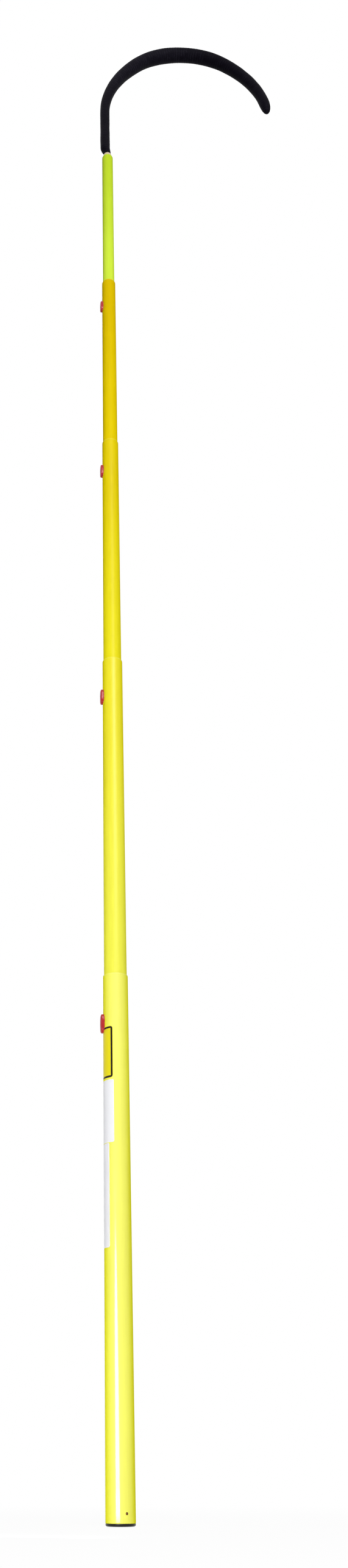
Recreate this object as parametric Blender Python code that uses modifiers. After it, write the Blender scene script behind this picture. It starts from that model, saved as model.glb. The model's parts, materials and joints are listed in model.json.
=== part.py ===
# Rescue hook: a telescoping insulated pole that carries a padded body hook at its tip.
# The pole's axis is Z and the centre of its butt face is the origin. The hook lies in
# the XZ plane and opens towards +X. The lock buttons face away from the hook, turned a
# little towards -Y. All lengths are in metres and all angles in degrees.

import math

import bmesh
import bpy
from mathutils import Matrix, Vector

# Clearances: between fixed neighbours, and between tubes that slide in each other
SEAT_GAP = 0.0003
SLIDE_GAP = 0.0003

# Tubes, from the base upwards. Diameters follow from the tip tube, the walls and the gap.
TIP_TUBE_DIAMETER = 0.03175
BASE_WALL = 0.0017
SECTION_2_WALL = 0.0018
SECTION_3_WALL = 0.0015
SECTION_4_WALL = 0.0022
TIP_WALL = 0.0024

# Height of the base tube's mouth, and the length that each section shows above a mouth
BASE_MOUTH_HEIGHT = 0.921
SECTION_2_SHOWN = 0.754
SECTION_3_SHOWN = 0.681
SECTION_4_SHOWN = 0.614
TIP_SHOWN = 0.575
TUBE_OVERLAP = 0.150
MOUTH_CHAMFER = 0.0007

# Butt cap: a flange under the base tube and a hollow spigot inside it, held by two rivets
CAP_FLANGE_THICKNESS = 0.004
CAP_EDGE_RADIUS = 0.003
CAP_SPIGOT_LENGTH = 0.024
CAP_SPIGOT_WALL = 0.003
RIVET_HEIGHT = 0.018
RIVET_AZIMUTH = -68.5
RIVET_SHANK_DIAMETER = 0.0026
RIVET_HEAD_DIAMETER = 0.0042
RIVET_HEAD_HEIGHT = 0.0007
RIVET_CREVICE = 0.0001
RIVET_DOME = ((0.6, 0.8), (1.0, 0.15))  # shares of the head's radius and height

# Guide plugs, one in the bottom end of each sliding section
PLUG_FLANGE_THICKNESS = 0.004
PLUG_SPIGOT_LENGTH = 0.018
PLUG_CHAMFER = 0.0008
PLUG_VENT_DIAMETER = 0.006

# Spring-loaded oval lock buttons and the bent leaf springs behind them
BUTTON_DROP = 0.097
BUTTON_TURN = 5.0
BUTTON_WIDTH = 0.017
BUTTON_HEIGHT = 0.037
BUTTON_SQUARENESS = 3.0  # 2 is an ellipse, and more fills the corners
BUTTON_PROTRUSION = 0.0057
BUTTON_EDGE = 0.0014
BUTTON_DISH = 0.0008
BUTTON_DISH_MIDDLE = (0.40, 0.7)  # shares of the half width and of the dish's depth
BUTTON_LIP = 0.0012
BUTTON_LIP_THICKNESS = 0.0012
LEAF_WIDTH = 0.010
LEAF_THICKNESS = 0.0008
LEAF_TOP_REACH = 0.014
LEAF_BOTTOM_REACH = 0.026

# Ferrule that plugs the tip tube and holds the hook's rod, with its cross pin
FERRULE_COLLAR_DIAMETER = 0.024
FERRULE_COLLAR_HEIGHT = 0.015
FERRULE_SPIGOT_LENGTH = 0.060
FERRULE_CHAMFER = 0.0012
ROD_SOCKET_DEPTH = 0.055
PIN_DIAMETER = 0.004
PIN_DROP = 0.030
FOAM_START = 0.085

# Hook: above the ferrule the rod's centreline steps back a little and goes straight up.
# Then come a wide shoulder arc, a tighter crown arc, a second wide arc and a short foot.
ROD_DIAMETER = 0.0127
OFFSET_START = 0.004
OFFSET_LENGTH = 0.036
HOOK_OFFSET = 0.0068
HOOK_SHANK_LENGTH = 0.2194
HOOK_ARCS = ((0.390, 43.0, 10), (0.205, 88.2, 11), (0.358, 45.7, 10))  # radius, turn, steps
HOOK_FOOT = 0.005
ROD_END_INSET = 0.030

# Hook cover: outer radii along the centreline, and where each one is reached
COVER_HEM_RADIUS = 0.0100
COVER_SHANK_RADIUS = 0.0143
COVER_CROWN_RADIUS = 0.0223
COVER_NOSE_RADIUS = 0.0163
HEM_TAPER = 0.040
CROWN_SWELL_START = 0.188
CROWN_SWELL_LENGTH = 0.437
NOSE_TAPER_END = 0.020
NOSE_TAPER_LENGTH = 0.482
NOSE_LENGTH = 0.050

# Facets
TUBE_STEPS = 40
SMALL_STEPS = 24
RIVET_STEPS = 16
CAP_EDGE_STEPS = 4
LEAF_BEND_STEPS = 8
OFFSET_STEPS = 4
NOSE_STEPS = 7
COVER_SIDES = 20
ROD_SIDES = 12
CUTTER_REACH = 1.5  # of the radius that a bar goes through
SHARP_ANGLE = math.radians(32.0)
MERGE_DISTANCE = 0.00001

SECTION_NAMES = ["base", "section_2", "section_3", "section_4", "tip"]


# Scene, collections and materials


def clear_scene():
    for thing in list(bpy.data.objects):
        bpy.data.objects.remove(thing, do_unlink=True)


def new_collection(name):
    collection = bpy.data.collections.new(name)
    bpy.context.scene.collection.children.link(collection)
    return collection


def make_material(name, color, roughness, metallic=0.0):
    material = bpy.data.materials.new(name)
    material.use_nodes = True
    shader = material.node_tree.nodes["Principled BSDF"]
    shader.inputs["Base Color"].default_value = (*color, 1.0)
    shader.inputs["Roughness"].default_value = roughness
    shader.inputs["Metallic"].default_value = metallic
    return material


def make_materials():
    return {
        "base": make_material("lemon_yellow_tube", (0.86, 0.85, 0.06), 0.22),
        "section_2": make_material("bright_yellow_tube", (0.88, 0.82, 0.04), 0.25),
        "section_3": make_material("yellow_tube", (0.85, 0.70, 0.02), 0.28),
        "section_4": make_material("golden_yellow_tube", (0.72, 0.52, 0.01), 0.30),
        "tip": make_material("lime_green_tube", (0.50, 0.78, 0.03), 0.40),
        "cap": make_material("black_butt_rubber", (0.02, 0.015, 0.02), 0.55),
        "rivet": make_material("brown_rivet", (0.16, 0.09, 0.03), 0.45),
        "plug": make_material("dark_guide_nylon", (0.05, 0.05, 0.055), 0.50),
        "button": make_material("red_button_plastic", (0.80, 0.04, 0.02), 0.28),
        "spring": make_material("spring_steel", (0.55, 0.56, 0.58), 0.35, 1.0),
        "foam": make_material("core_foam", (0.80, 0.74, 0.52), 0.90),
        "ferrule": make_material("cream_ferrule", (0.72, 0.62, 0.44), 0.55),
        "rod": make_material("hook_steel", (0.45, 0.46, 0.48), 0.40, 1.0),
        "cover": make_material("black_hook_foam", (0.008, 0.007, 0.010), 0.75),
    }


# Modelling helpers


def add_object(name, data, material, collection):
    thing = bpy.data.objects.new(name, data)
    collection.objects.link(thing)
    if material is not None:
        data.materials.append(material)
    return thing


def finish_shading(mesh):
    mesh.shade_smooth()
    mesh.set_sharp_from_angle(angle=SHARP_ANGLE)


def turned(name, outline, material, collection, closed=True, steps=TUBE_STEPS):
    # outline holds (radius, height) pairs that run down the outer side. A closed one
    # makes a ring; an open one starts and ends on the axis and makes a solid.
    mesh = bpy.data.meshes.new(name)
    count = len(outline)
    edges = [(i, i + 1) for i in range(count - 1)]
    if closed:
        edges.append((count - 1, 0))
    mesh.from_pydata([(radius, 0.0, height) for radius, height in outline], edges, [])
    thing = add_object(name, mesh, material, collection)
    screw = thing.modifiers.new("turn", "SCREW")
    screw.steps = steps
    screw.render_steps = steps
    screw.use_merge_vertices = True
    screw.merge_threshold = MERGE_DISTANCE
    screw.use_smooth_shade = True
    return thing


def bake(thing):
    # The object's modifiers become its mesh, with sharp edges marked for shading
    graph = bpy.context.evaluated_depsgraph_get()
    mesh = bpy.data.meshes.new_from_object(thing.evaluated_get(graph))
    old = thing.data
    thing.modifiers.clear()
    thing.data = mesh
    mesh.name = thing.name
    if isinstance(old, bpy.types.Mesh):
        bpy.data.meshes.remove(old)
    finish_shading(mesh)
    return thing


def mesh_from_curve(thing):
    # The caps of a bevelled curve are loose, so they are welded to the tube
    graph = bpy.context.evaluated_depsgraph_get()
    mesh = bpy.data.meshes.new_from_object(thing.evaluated_get(graph))
    shape = bmesh.new()
    shape.from_mesh(mesh)
    bmesh.ops.remove_doubles(shape, verts=shape.verts, dist=MERGE_DISTANCE)
    bmesh.ops.recalc_face_normals(shape, faces=shape.faces)
    shape.to_mesh(mesh)
    shape.free()
    name = thing.name
    collection = thing.users_collection[0]
    place = thing.matrix_world.copy()
    bpy.data.objects.remove(thing, do_unlink=True)
    solid = add_object(name, mesh, None, collection)
    solid.matrix_world = place
    finish_shading(mesh)
    return solid


def swept(name, stations, sides, material, collection):
    # stations holds (point, radius) pairs along the centreline
    curve = bpy.data.curves.new(name, "CURVE")
    curve.dimensions = "3D"
    curve.bevel_depth = ROD_DIAMETER / 2
    curve.bevel_resolution = (sides - 4) // 2
    curve.use_fill_caps = True
    spline = curve.splines.new("POLY")
    spline.points.add(len(stations) - 1)
    for point, (place, radius) in zip(spline.points, stations):
        point.co = (*place, 1.0)
        point.radius = radius / curve.bevel_depth
    return mesh_from_curve(add_object(name, curve, material, collection))


def fill_corners(shape):
    # A round form about Z becomes a rounded square of the same width
    power = BUTTON_SQUARENESS
    for corner in shape.verts:
        reach = math.hypot(corner.co.x, corner.co.y)
        if reach > MERGE_DISTANCE:
            across, along = abs(corner.co.x) / reach, abs(corner.co.y) / reach
            swell = (across**power + along**power) ** (-1.0 / power)
            corner.co.x *= swell
            corner.co.y *= swell


def prism(name, width, height, start, length, turn, z, collection, oval=False):
    # A round or oval bar along the direction -X turned by an angle about Z. It starts at
    # a distance from the axis and serves as a cutter.
    shape = bmesh.new()
    bmesh.ops.create_cone(
        shape, cap_ends=True, segments=SMALL_STEPS if oval else RIVET_STEPS,
        radius1=0.5, radius2=0.5, depth=1.0,
    )
    if oval:
        fill_corners(shape)
    lay = Matrix.Rotation(math.radians(-90.0), 4, "Y")
    size = Matrix.Diagonal((length, width, height, 1.0))
    shift = Matrix.Translation((-start - length / 2, 0.0, 0.0))
    bmesh.ops.transform(shape, matrix=shift @ size @ lay, verts=shape.verts)
    mesh = bpy.data.meshes.new(name)
    shape.to_mesh(mesh)
    shape.free()
    cutter = add_object(name, mesh, None, collection)
    cutter.rotation_euler = (0.0, 0.0, math.radians(turn))
    cutter.location = (0.0, 0.0, z)
    cutter.hide_render = True
    cutter.display_type = "WIRE"
    return cutter


def cut(thing, *cutters):
    for cutter in cutters:
        boolean = thing.modifiers.new(cutter.name, "BOOLEAN")
        boolean.operation = "DIFFERENCE"
        boolean.solver = "EXACT"
        boolean.object = cutter


def smooth_step(value, start, length):
    part = min(max((value - start) / length, 0.0), 1.0)
    return part * part * (3.0 - 2.0 * part)


# Pole layout


def lay_out_sections():
    # Diameters are worked out from the tip tube outwards, heights from the base upwards
    walls = [BASE_WALL, SECTION_2_WALL, SECTION_3_WALL, SECTION_4_WALL, TIP_WALL]
    shown = [BASE_MOUTH_HEIGHT, SECTION_2_SHOWN, SECTION_3_SHOWN, SECTION_4_SHOWN, TIP_SHOWN]
    sections = [{"name": name, "wall": wall} for name, wall in zip(SECTION_NAMES, walls)]
    outer = TIP_TUBE_DIAMETER / 2
    for section in reversed(sections):
        section["outer"] = outer
        section["bore"] = outer - section["wall"]
        index = sections.index(section)
        if index:
            outer = outer + SLIDE_GAP + sections[index - 1]["wall"]
    mouth = 0.0
    for section, length in zip(sections, shown):
        section["bottom"] = mouth - TUBE_OVERLAP
        section["button_height"] = mouth - BUTTON_DROP
        mouth += length
        section["mouth"] = mouth
    sections[0]["bottom"] = CAP_FLANGE_THICKNESS + SEAT_GAP
    return sections


def make_tube(section, material, parts):
    outer, bore = section["outer"], section["bore"]
    top, bottom = section["mouth"], section["bottom"]
    outline = [
        (outer - MOUTH_CHAMFER, top),
        (outer, top - MOUTH_CHAMFER),
        (outer, bottom),
        (bore, bottom),
        (bore, top),
    ]
    return turned(section["name"] + "_tube", outline, material, parts)


# Butt cap and rivets


def make_butt_cap(base, material, parts):
    flange = base["outer"]
    spigot = base["bore"] - SEAT_GAP
    hollow = spigot - CAP_SPIGOT_WALL
    top = CAP_FLANGE_THICKNESS + CAP_SPIGOT_LENGTH
    edge = min(CAP_EDGE_RADIUS, CAP_FLANGE_THICKNESS - SEAT_GAP)
    outline = [(0.0, CAP_FLANGE_THICKNESS), (hollow, CAP_FLANGE_THICKNESS)]
    outline += [(hollow, top), (spigot, top), (spigot, CAP_FLANGE_THICKNESS)]
    outline += [(flange, CAP_FLANGE_THICKNESS)]
    for step in range(CAP_EDGE_STEPS + 1):
        angle = math.radians(90.0 * step / CAP_EDGE_STEPS)
        outline.append(
            (flange - edge + edge * math.cos(angle), edge - edge * math.sin(angle))
        )
    outline.append((0.0, 0.0))
    return turned("butt_cap", outline, material, parts, closed=False)


def make_rivet(name, base, turn, material, parts):
    # A domed head on the tube and a shank through the walls of the tube and the spigot
    shank = RIVET_SHANK_DIAMETER / 2
    head = RIVET_HEAD_DIAMETER / 2
    seat = base["outer"] + RIVET_CREVICE
    tail = base["bore"] - SEAT_GAP - CAP_SPIGOT_WALL
    outline = [(0.0, seat + RIVET_HEAD_HEIGHT)]
    outline += [(head * out, seat + RIVET_HEAD_HEIGHT * up) for out, up in RIVET_DOME]
    outline += [(head, seat), (shank, seat), (shank, tail), (0.0, tail)]
    rivet = turned(name, outline, material, parts, closed=False, steps=RIVET_STEPS)
    bake(rivet)
    rivet.data.transform(Matrix.Rotation(math.radians(90.0), 4, "Y"))
    rivet.rotation_euler = (0.0, 0.0, math.radians(turn))
    rivet.location = (0.0, 0.0, RIVET_HEIGHT)
    return rivet


def make_rivet_hole(base, cutters):
    # One bar that runs through both walls of the tube and of the cap's spigot
    width = RIVET_SHANK_DIAMETER + 2 * SEAT_GAP
    reach = base["outer"] * CUTTER_REACH
    return prism(
        "rivet_hole", width, width, -reach, 2 * reach, RIVET_AZIMUTH + 180.0,
        RIVET_HEIGHT, cutters,
    )


# Guide plugs


def make_guide_plug(section, holder, material, parts):
    flange = holder["bore"] - SLIDE_GAP
    spigot = section["bore"] - SEAT_GAP
    vent = PLUG_VENT_DIAMETER / 2
    seat = section["bottom"] - SEAT_GAP
    low = seat - PLUG_FLANGE_THICKNESS
    high = seat + PLUG_SPIGOT_LENGTH
    outline = [
        (spigot - PLUG_CHAMFER, high),
        (spigot, high - PLUG_CHAMFER),
        (spigot, seat),
        (flange, seat),
        (flange, low + PLUG_CHAMFER),
        (flange - PLUG_CHAMFER, low),
        (vent, low),
        (vent, high),
    ]
    return turned(plug_name(section), outline, material, parts)


def plug_name(section):
    return "guide_plug_" + section["name"].replace("section_", "")


# Lock buttons and leaf springs


def lip_face(section):
    # Distance from the axis at which the button's oval lip meets the round bore
    half = BUTTON_WIDTH / 2 + BUTTON_LIP
    return math.sqrt(section["bore"] ** 2 - half**2) - SEAT_GAP


def make_lock_button(section, holder, material, parts):
    # A round knob with a dished crown and a bevelled edge, its corners filled out, then
    # stretched upwards into an oval
    body = BUTTON_WIDTH / 2
    lip = body + BUTTON_LIP
    crest = holder["outer"] + BUTTON_PROTRUSION
    face = lip_face(section)
    back = face - BUTTON_LIP_THICKNESS
    dish_out, dish_down = BUTTON_DISH_MIDDLE
    outline = [
        (0.0, crest - BUTTON_DISH),
        (body * dish_out, crest - BUTTON_DISH * dish_down),
        (body - 2 * BUTTON_EDGE, crest),
        (body - BUTTON_EDGE / 2, crest - BUTTON_EDGE / 2),
        (body, crest - 2 * BUTTON_EDGE),
        (body, face),
        (lip, face),
        (lip, back),
        (0.0, back),
    ]
    name = "lock_button_" + section["name"].replace("section_", "")
    knob = turned(name, outline, material, parts, closed=False, steps=SMALL_STEPS)
    bake(knob)
    shape = bmesh.new()
    shape.from_mesh(knob.data)
    fill_corners(shape)
    shape.to_mesh(knob.data)
    shape.free()
    lay = Matrix.Rotation(math.radians(-90.0), 4, "Y")
    stretch = Matrix.Diagonal((1.0, 1.0, BUTTON_HEIGHT / BUTTON_WIDTH, 1.0))
    knob.data.transform(stretch @ lay)
    place_on_button_line(knob, section)
    return knob


def place_on_button_line(thing, section):
    thing.rotation_euler = (0.0, 0.0, math.radians(BUTTON_TURN))
    thing.location = (0.0, 0.0, section["button_height"])


def make_leaf_spring(section, material, parts):
    # A strip bent to a U: one leg behind the button, the bend below, the other leg
    # against the far side of the bore
    near = -(lip_face(section) - BUTTON_LIP_THICKNESS - SEAT_GAP - LEAF_THICKNESS / 2)
    half = LEAF_WIDTH / 2
    far = math.sqrt(section["bore"] ** 2 - half**2) - SEAT_GAP - LEAF_THICKNESS / 2
    bend = (far - near) / 2
    middle = (far + near) / 2
    low = -LEAF_BOTTOM_REACH + LEAF_THICKNESS / 2
    path = [(near, LEAF_TOP_REACH)]
    for step in range(LEAF_BEND_STEPS + 1):
        angle = math.pi * step / LEAF_BEND_STEPS
        path.append(
            (middle - bend * math.cos(angle), low + bend * (1.0 - math.sin(angle)))
        )
    path.append((far, LEAF_TOP_REACH))
    shape = bmesh.new()
    rows = [[shape.verts.new((x, y, z)) for y in (-half, half)] for x, z in path]
    for lower, upper in zip(rows, rows[1:]):
        shape.faces.new((lower[0], lower[1], upper[1], upper[0]))
    name = "leaf_spring_" + section["name"].replace("section_", "")
    mesh = bpy.data.meshes.new(name)
    shape.to_mesh(mesh)
    shape.free()
    leaf = add_object(name, mesh, material, parts)
    solid = leaf.modifiers.new("thickness", "SOLIDIFY")
    solid.thickness = LEAF_THICKNESS
    solid.offset = 0.0
    solid.use_even_offset = True
    place_on_button_line(leaf, section)
    return leaf


def make_button_hole(section, holder, cutters):
    width = BUTTON_WIDTH + 2 * SEAT_GAP
    height = BUTTON_HEIGHT + 2 * SEAT_GAP
    start = section["bore"] / 2
    length = holder["outer"] + BUTTON_PROTRUSION - start
    name = "button_hole_" + section["name"]
    return prism(
        name, width, height, start, length, BUTTON_TURN, section["button_height"], cutters,
        oval=True,
    )


# Ferrule, pin and foam core at the tip


def make_ferrule(tip, material, parts):
    collar = FERRULE_COLLAR_DIAMETER / 2
    shoulder = tip["outer"] - MOUTH_CHAMFER - SEAT_GAP
    spigot = tip["bore"] - SEAT_GAP
    socket = ROD_DIAMETER / 2 + SEAT_GAP
    seat = tip["mouth"] + SEAT_GAP
    top = tip["mouth"] + FERRULE_COLLAR_HEIGHT
    rise = (shoulder - collar) / 2
    outline = [
        (0.0, top - ROD_SOCKET_DEPTH),
        (socket, top - ROD_SOCKET_DEPTH),
        (socket, top),
        (collar - FERRULE_CHAMFER, top),
        (collar, top - FERRULE_CHAMFER),
        (collar, seat + rise + FERRULE_CHAMFER),
        (shoulder, seat + FERRULE_CHAMFER),
        (shoulder, seat),
        (spigot, seat),
        (spigot, tip["mouth"] - FERRULE_SPIGOT_LENGTH),
        (0.0, tip["mouth"] - FERRULE_SPIGOT_LENGTH),
    ]
    return turned("hook_ferrule", outline, material, parts, closed=False)


def make_ferrule_pin(tip, material, parts):
    # A cross pin through the ferrule and the rod, inside the tube
    half = tip["bore"] - SEAT_GAP
    radius = PIN_DIAMETER / 2
    pin = turned(
        "ferrule_pin", [(0.0, half), (radius, half), (radius, -half), (0.0, -half)],
        material, parts, closed=False, steps=RIVET_STEPS,
    )
    bake(pin)
    pin.data.transform(Matrix.Rotation(math.radians(90.0), 4, "X"))
    pin.location = (0.0, 0.0, tip["mouth"] - PIN_DROP)
    return pin


def make_pin_hole(tip, cutters):
    width = PIN_DIAMETER + 2 * SEAT_GAP
    reach = tip["bore"] * CUTTER_REACH
    return prism(
        "pin_hole", width, width, -reach, 2 * reach, 90.0, tip["mouth"] - PIN_DROP, cutters
    )


def make_foam_core(tip, material, parts):
    radius = tip["bore"] - SEAT_GAP
    top = tip["mouth"] - FERRULE_SPIGOT_LENGTH - SEAT_GAP
    low = tip["bottom"] + FOAM_START
    outline = [(0.0, top), (radius, top), (radius, low), (0.0, low)]
    return turned("tip_foam_core", outline, material, parts, closed=False)


# Hook rod and cover


def hook_centreline(start):
    # Points from the start height up the shank, over the arch and down to the foot
    points = [Vector((0.0, 0.0, start))]
    for height, back in shank_offset():
        if height > start + MERGE_DISTANCE:
            points.append(Vector((-back, 0.0, height)))
    position = Vector((-HOOK_OFFSET, 0.0, cover_hem() + HOOK_SHANK_LENGTH))
    points.append(position.copy())
    heading = 0.0
    for radius, degrees, steps in HOOK_ARCS:
        turn = math.radians(degrees)
        inward = Vector((math.cos(heading), 0.0, -math.sin(heading)))
        centre = position + radius * inward
        for step in range(1, steps + 1):
            angle = heading + turn * step / steps
            spoke = Vector((math.cos(angle), 0.0, -math.sin(angle)))
            points.append(centre - radius * spoke)
        heading += turn
        position = points[-1].copy()
    ahead = Vector((math.sin(heading), 0.0, math.cos(heading)))
    points.append(position + HOOK_FOOT * ahead)
    return points


def shank_offset():
    # Heights just above the ferrule, and how far the centreline has stepped back there
    hem = cover_hem()
    stations = [(hem, 0.0)]
    for step in range(OFFSET_STEPS + 1):
        rise = OFFSET_LENGTH * step / OFFSET_STEPS
        back = HOOK_OFFSET * smooth_step(rise, 0.0, OFFSET_LENGTH)
        stations.append((hem + OFFSET_START + rise, back))
    return stations


def cover_hem():
    tip_mouth = BASE_MOUTH_HEIGHT + SECTION_2_SHOWN + SECTION_3_SHOWN + SECTION_4_SHOWN + TIP_SHOWN
    return tip_mouth + FERRULE_COLLAR_HEIGHT + SEAT_GAP


def running_lengths(points):
    lengths = [0.0]
    for before, after in zip(points, points[1:]):
        lengths.append(lengths[-1] + (after - before).length)
    return lengths


def point_at(points, lengths, place):
    for before, after, low, high in zip(points, points[1:], lengths, lengths[1:]):
        if low <= place <= high:
            return before.lerp(after, (place - low) / (high - low))
    return points[-1].copy()


def cover_radius(place, length):
    radius = COVER_HEM_RADIUS
    radius += (COVER_SHANK_RADIUS - COVER_HEM_RADIUS) * smooth_step(place, 0.0, HEM_TAPER)
    swell = smooth_step(place, CROWN_SWELL_START, CROWN_SWELL_LENGTH)
    radius += (COVER_CROWN_RADIUS - COVER_SHANK_RADIUS) * swell
    taper_start = length - NOSE_TAPER_END - NOSE_TAPER_LENGTH
    narrow = smooth_step(place, taper_start, NOSE_TAPER_LENGTH)
    return radius + (COVER_NOSE_RADIUS - COVER_CROWN_RADIUS) * narrow


def make_cover(material, parts):
    # The nose is half an ellipsoid, and its last ring stays open enough to be capped
    points = hook_centreline(cover_hem())
    lengths = running_lengths(points)
    total = lengths[-1]
    nose_start = total - NOSE_LENGTH
    places = [place for place in lengths if place < nose_start - NOSE_LENGTH / NOSE_STEPS]
    radii = [cover_radius(place, total) for place in places]
    for step in range(NOSE_STEPS):
        angle = math.radians(90.0 * step / (NOSE_STEPS - 0.5))
        place = nose_start + NOSE_LENGTH * math.sin(angle)
        places.append(place)
        radii.append(cover_radius(place, total) * math.cos(angle))
    stations = [(point_at(points, lengths, place), radius) for place, radius in zip(places, radii)]
    cover = swept("hook_cover", stations, COVER_SIDES, None, parts)
    cover.data.materials.append(material)
    return cover


def rod_stations(start, radius, end_gap):
    points = hook_centreline(start)
    lengths = running_lengths(points)
    stop = lengths[-1] - ROD_END_INSET + end_gap
    stations = [(point, radius) for point, place in zip(points, lengths) if place < stop]
    stations.append((point_at(points, lengths, stop), radius))
    return stations


def make_rod(tip, material, parts):
    start = tip["mouth"] + FERRULE_COLLAR_HEIGHT - ROD_SOCKET_DEPTH + SEAT_GAP
    rod = swept("hook_rod", rod_stations(start, ROD_DIAMETER / 2, 0.0), ROD_SIDES, None, parts)
    rod.data.materials.append(material)
    return rod


def make_cover_bore(cutters):
    start = cover_hem() - ROD_DIAMETER / 2
    radius = ROD_DIAMETER / 2 + SEAT_GAP
    stations = rod_stations(start, radius, SEAT_GAP)
    bore = swept("cover_bore", stations, ROD_SIDES, None, cutters)
    bore.hide_render = True
    bore.display_type = "WIRE"
    return bore


def build():
    clear_scene()
    parts = new_collection("rescue_hook")
    cutters = new_collection("cutters")
    materials = make_materials()
    sections = lay_out_sections()
    base, tip = sections[0], sections[-1]

    tubes = [make_tube(section, materials[section["name"]], parts) for section in sections]
    cap = make_butt_cap(base, materials["cap"], parts)
    make_rivet("butt_cap_rivet_front", base, RIVET_AZIMUTH, materials["rivet"], parts)
    make_rivet("butt_cap_rivet_rear", base, RIVET_AZIMUTH + 180.0, materials["rivet"], parts)
    rivet_hole = make_rivet_hole(base, cutters)
    cut(tubes[0], rivet_hole)
    cut(cap, rivet_hole)

    for index in range(1, len(sections)):
        section, holder = sections[index], sections[index - 1]
        make_guide_plug(section, holder, materials["plug"], parts)
        make_lock_button(section, holder, materials["button"], parts)
        make_leaf_spring(section, materials["spring"], parts)
        hole = make_button_hole(section, holder, cutters)
        cut(tubes[index], hole)
        cut(tubes[index - 1], hole)

    make_foam_core(tip, materials["foam"], parts)
    ferrule = make_ferrule(tip, materials["ferrule"], parts)
    make_ferrule_pin(tip, materials["rod"], parts)
    rod = make_rod(tip, materials["rod"], parts)
    pin_hole = make_pin_hole(tip, cutters)
    cut(ferrule, pin_hole)
    cut(rod, pin_hole)

    cover = make_cover(materials["cover"], parts)
    cut(cover, make_cover_bore(cutters))


build()
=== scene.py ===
import json
import math

import bmesh
import bpy
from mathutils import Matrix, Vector, noise


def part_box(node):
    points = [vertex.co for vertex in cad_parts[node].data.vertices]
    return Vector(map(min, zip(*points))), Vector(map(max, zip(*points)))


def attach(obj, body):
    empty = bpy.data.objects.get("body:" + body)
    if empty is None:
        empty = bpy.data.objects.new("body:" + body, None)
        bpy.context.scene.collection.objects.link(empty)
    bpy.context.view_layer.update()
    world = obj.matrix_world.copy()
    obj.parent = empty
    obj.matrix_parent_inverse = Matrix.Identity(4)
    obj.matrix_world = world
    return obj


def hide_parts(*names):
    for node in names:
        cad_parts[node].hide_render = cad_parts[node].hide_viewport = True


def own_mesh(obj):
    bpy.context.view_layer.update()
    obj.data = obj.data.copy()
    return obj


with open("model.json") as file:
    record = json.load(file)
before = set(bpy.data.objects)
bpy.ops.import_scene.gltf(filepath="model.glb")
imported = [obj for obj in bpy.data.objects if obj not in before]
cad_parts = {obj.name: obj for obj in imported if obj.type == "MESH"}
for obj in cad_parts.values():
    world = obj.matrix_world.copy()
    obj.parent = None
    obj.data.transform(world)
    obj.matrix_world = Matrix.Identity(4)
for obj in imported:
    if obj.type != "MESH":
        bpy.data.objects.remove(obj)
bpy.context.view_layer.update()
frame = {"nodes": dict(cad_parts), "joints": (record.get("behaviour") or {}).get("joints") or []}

# Looks of a telescoping rescue hook: smooth tubes, lock buttons, padded hook, labels and
# a plain studio. Everything is in metres, and the butt of the pole is at the origin.

fullTurn = 2 * math.pi
tinyLength = 0.00001
seatGap = 0.0003   # between a fixed piece and its neighbour
usualSharpAngle = 32   # degrees between faces, above which an edge stays sharp
colorA, colorB, colorOut = 6, 7, 2   # the Mix node's colour sockets


# small helpers

def screenColors(look, *keys):
    # a look's colours, 0 to 255 as a screen shows them, as the linear ones that a shader takes
    def linear(value):
        value = value / 255
        return value / 12.92 if value <= 0.04045 else ((value + 0.055) / 1.055) ** 2.4
    return [tuple(linear(value) for value in look[key]) + (1.0,) for key in keys]


def easeBetween(value, start, length):
    part = min(max((value - start) / length, 0.0), 1.0)
    return part * part * (3 - 2 * part)


def circlePoints(radius, height, segments):
    angles = [fullTurn * i / segments for i in range(segments)]
    return [Vector((radius * math.cos(angle), radius * math.sin(angle), height)) for angle in angles]


def middleOf(points):
    return sum(points, Vector()) / len(points)


def meshFrom(form, name):
    # the mesh of a bmesh, which is freed
    mesh = bpy.data.meshes.new(name)
    form.to_mesh(mesh)
    form.free()
    return mesh


def skin(name, rings, closed=False, sharpAngle=usualSharpAngle):
    # quads between rings of points; a ring of one point is a pole, and closed joins last to first
    form = bmesh.new()
    rows = [[form.verts.new(point) for point in ring] for ring in rings]
    pairs = list(zip(rows, rows[1:]))
    if closed:
        pairs.append((rows[-1], rows[0]))
    for near, far in pairs:
        count = max(len(near), len(far))
        for i in range(count):
            j = (i + 1) % count
            if len(near) == 1:
                form.faces.new((near[0], far[j], far[i]))
            elif len(far) == 1:
                form.faces.new((near[i], near[j], far[0]))
            else:
                form.faces.new((near[i], near[j], far[j], far[i]))
    bmesh.ops.recalc_face_normals(form, faces=form.faces)
    mesh = meshFrom(form, name)
    smoothShade(mesh, sharpAngle)
    return mesh


def smoothShade(mesh, sharpAngle=usualSharpAngle):
    mesh.shade_smooth()
    mesh.set_sharp_from_angle(angle=math.radians(sharpAngle))


def lathe(name, profile, segments, closed=True):
    # profile holds (radius, height) pairs; an open one starts and ends on the axis
    rings = [
        circlePoints(radius, height, segments) if radius > tinyLength else [Vector((0, 0, height))]
        for radius, height in profile
    ]
    return skin(name, rings, closed)


def roundedCorner(centre, radius, fromAngle, toAngle, steps=4):
    # points of an arc in a lathe profile, angles in degrees from the outward direction
    points = []
    for i in range(steps + 1):
        angle = math.radians(fromAngle + (toAngle - fromAngle) * i / steps)
        points.append((centre[0] + radius * math.cos(angle), centre[1] + radius * math.sin(angle)))
    return points


def newObject(name, data):
    thing = bpy.data.objects.new(name, data)
    bpy.context.scene.collection.objects.link(thing)
    return thing


def addPiece(name, mesh, materials, body, replaced=()):
    for material in materials:
        mesh.materials.append(material)
    piece = newObject(name, mesh)
    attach(piece, body)
    if replaced:
        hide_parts(*replaced)
    return piece


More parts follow.
